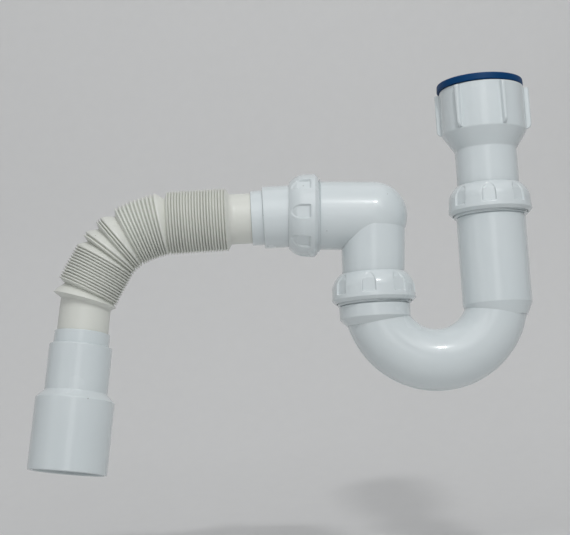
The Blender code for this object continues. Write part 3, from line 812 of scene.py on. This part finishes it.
def makeThread(joint, at, body):
    t = thread
    outline = softened([(t["crest"], 0.0, 0.2), (t["crest"], t["end"], 0.3), (bend["flare"], t["end"], 0.1),
                        (bend["flare"], -bend["taper"], 0.1), (bend["mouth"], 0.0, 0.1)], 0.3)
    sleeve = turnedMesh("thread", divided(outline, t["face"], t["root"]), t["sides"])
    shaped = grown("thread", sleeve, threads, threadSizes())
    finished(f"{joint}_thread", shaped, at, body, sharp=60)


for joint, body in (("inlet", "trap"), ("middle", "trap"), ("outlet", "elbow")):
    makeThread(joint, slipJoints[joint][0], body)
print("threads")


# U-bend

def sweptBar(name, points, radius, sides=roundSides):
    # a round bar along points whose rings stay square to the path
    circle = arc(sides, math.tau)[:-1]
    rings = []
    for index, here in enumerate(points):
        z = (points[min(index + 1, len(points) - 1)] - points[max(index - 1, 0)]).normalized()
        x = upright.cross(z).normalized()
        rings.append([here + radius * mm * (x * cosine + upright * sine) for cosine, sine in circle])
    return ringMesh(name, rings, [points[0], points[-1]])


def halfTurn(lead):
    # the line through the bend, in the trap's own frame, with a straight lead at each end
    b = bend
    radius = b["turnRadius"] * mm
    leads = [(lead * (1 - step / b["leadSteps"]) - b["drop"]) * mm for step in range(b["leadSteps"])]
    points = [Vector((0, 0, height)) for height in leads]
    points += [Vector((radius * (cosine - 1), 0, -b["drop"] * mm - radius * sine))
               for cosine, sine in arc(b["steps"], math.pi)]
    return points + [Vector((-2 * radius, 0, height)) for height in reversed(leads)]


def socketCutter(radius, depth):
    b = bend
    return turnedBar("socket", [(b["mouth"], b["above"]), (b["mouth"], 0.0), (b["flare"], -b["taper"]),
                                (radius, -b["taper"] - b["ledge"]), (radius, -depth)])


def makeUBend():
    b = bend
    toCollar = Matrix.Translation((-2 * b["turnRadius"] * mm, 0, (b["collarRise"] - b["drop"]) * mm))
    stepFoot, collarFoot = b["socketEnd"] - b["step"], b["collarEnd"] - b["collarCone"]
    neck = [(b["neck"], 0.0), (b["neck"], thread["end"], 0.3)]
    coneFoot = thread["end"] - b["neckCone"]
    shell = softened([*neck, (b["socket"], coneFoot, 0.4), (b["socket"], b["socketEnd"], 0.9),
                      (b["tube"] - b["stepWall"], stepFoot)], 0.5, closed=False)
    ring = softened([*neck, (b["collar"], coneFoot, 0.4), (b["collar"], b["collarEnd"], 0.6),
                     (b["tube"] - b["ringWall"], collarFoot)], 0.5, closed=False)
    shaped = cutMesh(turnedBar("u_bend", shell), [
        (turnedBar("collar", ring), toCollar, "UNION"),
        (sweptBar("bend", halfTurn(b["lead"]), b["tube"]), Matrix.Identity(4), "UNION"),
        (socketCutter(b["socketBore"], -b["boreEnd"]), Matrix.Identity(4), "DIFFERENCE"),
        (socketCutter(b["collarBore"], b["collarDepth"]), toCollar, "DIFFERENCE"),
        (sweptBar("bore", halfTurn(b["boreLead"]), b["bore"]), Matrix.Identity(4), "DIFFERENCE"),
    ])
    finished("u_bend_moulding", shaped, trapAt, "trap", ["u_bend"], sharp=12)


def makeMouldLine():
    # the thin line that the two halves of the mould leave along the outside of the bend
    b = bend
    reach = (b["turnRadius"] + b["tube"]) * mm
    centre = Vector((-b["turnRadius"] * mm, 0, -b["drop"] * mm))
    points = []
    for step in range(b["flashSteps"] + 1):
        angle = math.radians(b["flashFrom"] + b["flashTurn"] * step / b["flashSteps"])
        points.append(centre + reach * Vector((math.cos(angle), 0, -math.sin(angle))))
    line = sweptBar("mould_line", points, b["flash"], 12)
    finished("bend_mould_line", line, trapAt, "trap")


makeUBend()
makeMouldLine()
print("U-bend")


# Elbow

elbow = {
    "leg": 20.0, "legRoot": 20.6, "taper": (18.0, 12.0), "legEnd": -12.0, "chamfer": 0.4, "bore": 18.0,
    "rise": 46.4, "reach": 46.0, "arm": 22.13, "ballBore": 19.93, "ringEnd": 34.4,
    "armCone": (0.6, -0.2, -1.0),         # heights past the ring's end, down to the ball
    "armBoreEnd": 6.0, "legBoreEnd": 10.0, "socketBore": 21.03, "socketDepth": 13.5,
    "face": 1.5, "ballSteps": 24,
}


def ballOutline(radius, start):
    # from the arm's end round the ball to the axis; heights run down
    return [Vector((radius, start))] + [Vector((radius * cosine, -radius * sine))
                                        for cosine, sine in arc(elbow["ballSteps"])[:-1]]


def makeElbow():
    e = elbow
    toArm = Matrix.Translation((0, 0, e["rise"] * mm)) @ turnY(-90)
    toMouth = Matrix.Translation((-e["reach"] * mm, 0, e["rise"] * mm)) @ turnY(-90)
    # the leg tapers a little from the arm down to where the nut slides on it
    half = (e["leg"] + e["legRoot"]) / 2
    leg = [(e["legRoot"], e["rise"]), (half, e["taper"][0]), (e["leg"], e["taper"][1]),
           (e["leg"], e["legEnd"] + e["chamfer"]), (e["leg"] - e["chamfer"], e["legEnd"])]
    coneTop, coneFoot, ballTop = (e["ringEnd"] + height for height in e["armCone"])
    arm = [(bend["neck"], e["reach"]), (bend["neck"], coneTop), (e["arm"], coneFoot),
           *ballOutline(e["arm"], ballTop)]
    leg, arm = (divided([Vector(point) for point in outline], e["face"], closed=False)
                for outline in (leg, arm))
    armBore = [(e["bore"], e["reach"] - e["armBoreEnd"]), (e["bore"], e["ballBore"]),
               *ballOutline(e["ballBore"], e["ballBore"] / 2)]
    legBore = [(e["bore"], e["rise"]), (e["bore"], e["legEnd"] - e["legBoreEnd"])]
    shaped = cutMesh(turnedBar("elbow", leg), [
        (turnedBar("arm", arm), toArm, "UNION"),
        (turnedBar("arm_bore", armBore), toArm, "DIFFERENCE"),
        (socketCutter(e["socketBore"], e["socketDepth"]), toMouth, "DIFFERENCE"),
        (turnedBar("leg_bore", legBore), Matrix.Identity(4), "DIFFERENCE"),
    ])
    finished("elbow_moulding", shaped, elbowAt, "elbow", ["elbow"], sharp=12)


makeElbow()
print("elbow")


# Rigid tail, bellows hose and stepped outlet

tail = {"tube": 20.0, "bore": 18.0, "reach": 25.0, "neck": 17.65, "neckBore": 16.65, "neckLength": 7.6,
        "end": -12.0, "floor": 2.0, "lip": 1.0, "hole": 14.95}


def makeTail():
    t = tail
    outline = softened([
        (t["neck"], t["reach"] + t["neckLength"], 0.35), (t["neck"], t["reach"], 0.3),
        (t["tube"], t["reach"], 0.7), (t["tube"], t["end"], 0.5), (t["bore"], t["end"], 0.4),
        (t["bore"], t["reach"] - t["floor"], 0.8),
        (t["hole"], t["reach"] - t["floor"], 0.3), (t["hole"], t["reach"] + t["lip"], 0.2),
        (t["neckBore"], t["reach"] + t["lip"], 0.2), (t["neckBore"], t["reach"] + t["neckLength"], 0.3),
    ], 0.4)
    finished("hose_tail_body", turnedMesh("tail", outline), tailAt, "tail", ["hose_tail"])


makeTail()
print("tail")

hose = {
    "cuff": 16.25, "crest": 20.5, "wall": 1.1, "start": 26.3, "tailCuff": 19.9, "outletCuff": 26.3,
    "cone": 2.6, "closedDepth": 2.1, "openDepth": 3.7, "openAside": 1.3, "closedPitch": 2.4, "openPitch": 4.0,
    "openRoot": 0.23, "openSlope": 1.15, "jitter": 0.10, "openJitter": 0.3, "seed": 4,
    "sides": 112, "steps": 8, "parts": 5, "weld": 0.002, "endTurn": 10.0, "endShift": 1.2, "endSwing": 4.0,
    # from the tail: folds, their pitch at the middle, degrees that they turn together
    "run": ((20, 1.85, 1.0), (1, 5.4, 9.0), (10, 2.17, 15.0), (1, 6.6, 12.5), (2, 1.81, 0.2), (1, 5.5, 11.4),
            (1, 2.3, 0.3), (1, 4.8, 8.5), (12, 1.83, 3.4), (1, 6.3, 11.0)),
}


def hosePath():
    # the outer skin's rings in the tail's frame: (place, radius, mark); the inner skin keeps the marked ones
    h = hose
    chance = random.Random(h["seed"])
    at = Matrix.Translation((0, 0, h["start"] * mm))
    rings = []

    def advance(length, turn=0.0):
        nonlocal at
        half = turnY(-turn / 2)
        at = at @ half @ Matrix.Translation((0, 0, length * mm)) @ half

    def add(radius, mark="", aside=0.0):
        rings.append((at @ Matrix.Translation((-aside * mm, 0, 0)), radius * mm, mark))

    def straight(length):
        for part in range(1, h["parts"] + 1):
            advance(length / h["parts"])
            add(h["cuff"], "end" if part == h["parts"] else "")

    def fold(pitch, turn):
        # a closed fold is even, an open one has a steep side and a long one and is deeper outside
        opened = min(1.0, max(0.0, (pitch - h["closedPitch"]) / (h["openPitch"] - h["closedPitch"])))
        depth = h["closedDepth"] + (h["openDepth"] - h["closedDepth"]) * opened
        depth *= 1 + h["jitter"] * chance.uniform(-1, 1) * (1 - (1 - h["openJitter"]) * opened)
        root = 0.5 + (h["openRoot"] - 0.5) * opened
        half = h["steps"] // 2
        for step in range(1, h["steps"] + 1):
            down = step / half if step <= half else 2 - step / half       # 0 at the crests, 1 at the root
            part = (root if step <= half else 1 - root) / half
            advance(pitch * part, turn * part)
            rounded, straightSided = down ** 2, down ** h["openSlope"]
            mark = "root" if step == half else "crest" if step == h["steps"] else ""
            sunk = depth * (rounded + (straightSided - rounded) * opened)
            add(h["crest"] - sunk, mark, h["openAside"] * opened * down)

    rise = h["crest"] - h["cuff"]
    shares = [step / h["parts"] for step in range(1, h["parts"] + 1)]
    add(h["cuff"], "end")
    straight(h["tailCuff"])
    for share in shares:
        advance(h["cone"] / h["parts"])
        add(h["cuff"] + rise * share, "crest" if share == 1 else "")
    for folds, pitch, turn in h["run"]:
        for _ in range(folds):
            fold(pitch, turn / folds)
    # the last cone keeps the tilt of its crest, and the outlet's cuff leaves it at an angle
    crest = at.copy()
    advance(h["cone"], h["endTurn"])
    at = at @ Matrix.Translation((-h["endShift"] * mm, 0, 0)) \
        @ Matrix.Rotation(math.radians(h["endSwing"]), 4, "X")
    for share in shares:
        here = crest.copy()
        here.translation = crest.translation.lerp(at.translation, share)
        rings.append((here, (h["crest"] - rise * share) * mm, "end" if share == 1 else ""))
    straight(h["outletCuff"])
    return rings, at


def pathMesh(rings):
    # a point for each ring of the skin: out along the hose, then back inside over the marked rings
    skins = [(at, radius) for at, radius, _ in rings]
    skins += [(at, radius - hose["wall"] * mm) for at, radius, mark in reversed(rings) if mark]
    mesh = bpy.data.meshes.new("path")
    mesh.from_pydata([at.translation for at, _ in skins], [], [])
    for name, column in (("across", 0), ("level", 1)):
        values = mesh.attributes.new(name, "FLOAT_VECTOR", "POINT")
        for point, (at, _) in zip(values.data, skins):
            point.vector = at.col[column].xyz
    reach = mesh.attributes.new("reach", "FLOAT", "POINT")
    for point, (_, radius) in zip(reach.data, skins):
        point.value = radius
    return mesh


def bellowsTree():
    # a skin of rings, one for each point of the path mesh, closed at the seam and at the ends
    tree, given = startTree("bellowsAlong", {"Sides": hose["sides"]})
    size = addNode(tree, "GeometryNodeAttributeDomainSize", {0: given["Geometry"]}, component="MESH")
    rings = size.outputs["Point Count"]
    columns = plus(given["Sides"], 1.0)
    skin = addNode(tree, "GeometryNodeMeshGrid", {"Vertices X": plus(rings, 1.0), "Vertices Y": columns})
    index = addNode(tree, "GeometryNodeInputIndex").outputs[0]
    ring = calc("MODULO", calc("FLOOR", over(index, columns)), rings)
    angle = over(times(calc("MODULO", index, columns), math.tau), given["Sides"])

    def ofRing(value, kind):
        picked = addNode(tree, "GeometryNodeSampleIndex", data_type=kind, domain="POINT")
        feed(tree, picked, {"Geometry": given["Geometry"], "Value": value, "Index": ring})
        return picked.outputs[0]

    def stored(name, kind):
        value = addNode(tree, "GeometryNodeInputNamedAttribute", {"Name": name}, data_type=kind)
        return ofRing(value.outputs[0], kind)

    reach = stored("reach", "FLOAT")
    place = ofRing(addNode(tree, "GeometryNodeInputPosition").outputs[0], "FLOAT_VECTOR")
    for name, wave in (("across", "COSINE"), ("level", "SINE")):
        spoke = addNode(tree, "ShaderNodeVectorMath", {
            0: stored(name, "FLOAT_VECTOR"), "Scale": times(reach, calc(wave, angle)),
        }, operation="SCALE")
        together = addNode(tree, "ShaderNodeVectorMath", {0: place, 1: spoke.outputs[0]}, operation="ADD")
        place = together.outputs[0]
    wrapped = addNode(tree, "GeometryNodeSetPosition", {"Geometry": skin.outputs[0], "Position": place})
    joined = addNode(tree, "GeometryNodeMergeByDistance", {"Geometry": wrapped.outputs[0],
                                                           "Distance": hose["weld"] * mm})
    return endTree(tree, given, joined.outputs[0])


def makeHose():
    rings, hoseEnd = hosePath()
    hinges = [Vector(joints[name]["pos_m"]) for name in ("hose_bend_upper", "hose_bend_lower")]
    target = tailAt.inverted() @ ((hinges[0] + hinges[1]) / 2)
    crests = [index for index, ring in enumerate(rings) if ring[2] == "crest"]
    half = min(crests, key=lambda index: (rings[index][0].translation - target).length)
    ways = [(tailAt @ at).col[2].xyz for at in (rings[0][0], rings[half][0], rings[-1][0])]
    tree = bellowsTree()
    pieces = []
    for name, part, bodies, hinge, first, last in (
        ("bellows_upper", rings[:half + 1], ("tail", "hose"), hinges[0], ways[0], ways[1]),
        # from the outlet back: read the other way, the blend tears in the pose with every joint at its least
        ("bellows_lower", rings[half:], ("outlet", "hose"), hinges[1], -ways[2], -ways[1]),
    ):
        mesh = grown(name, pathMesh(part), tree, {"Sides": hose["sides"]}, "hose_plastic")
        mesh.transform(tailAt)
        work = bmesh.new()
        work.from_mesh(mesh)
        piece = shown(name, facedOut(mesh, work), "hose_plastic", sharp=75)
        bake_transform(piece)
        pieces.append(piece)
        print(name, len(mesh.polygons), "faces")
    for piece in pieces:
        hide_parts("flexible_hose")
    return hoseEnd


outlet = {"neck": 17.65, "neckBore": 16.65, "neckLength": 8.6, "hole": 14.95, "lip": 1.0, "floor": 2.0,
          "wall": 2.2, "middle": 20.0, "middleLength": 29.6, "cone": 4.8, "radius": 25.0, "length": 45.6}


def makeOutlet(hoseEnd):
    o = outlet
    coneTop, coneFoot = -o["middleLength"], -o["middleLength"] - o["cone"]
    foot = coneFoot - o["length"]
    outline = softened([
        (o["neck"], o["neckLength"], 0.35), (o["neck"], 0.0, 0.3), (o["middle"], 0.0, 0.7),
        (o["middle"], coneTop, 1.0), (o["radius"], coneFoot, 1.2), (o["radius"], foot, 0.7),
        (o["radius"] - o["wall"], foot, 0.7), (o["radius"] - o["wall"], coneFoot, 1.0),
        (o["middle"] - o["wall"], coneTop, 1.0), (o["middle"] - o["wall"], -o["floor"], 0.8),
        (o["hole"], -o["floor"], 0.3), (o["hole"], o["lip"], 0.2), (o["neckBore"], o["lip"], 0.2),
        (o["neckBore"], o["neckLength"], 0.3),
    ], 0.4)
    at = tailAt @ hoseEnd @ Matrix.Translation((0, 0, (hose["start"] - tail["reach"]) * mm)) @ turnY(180)
    finished("outlet_spigot_body", turnedMesh("outlet", outline), at, "outlet", ["outlet_spigot"])


makeOutlet(makeHose())
print("hose and outlet")
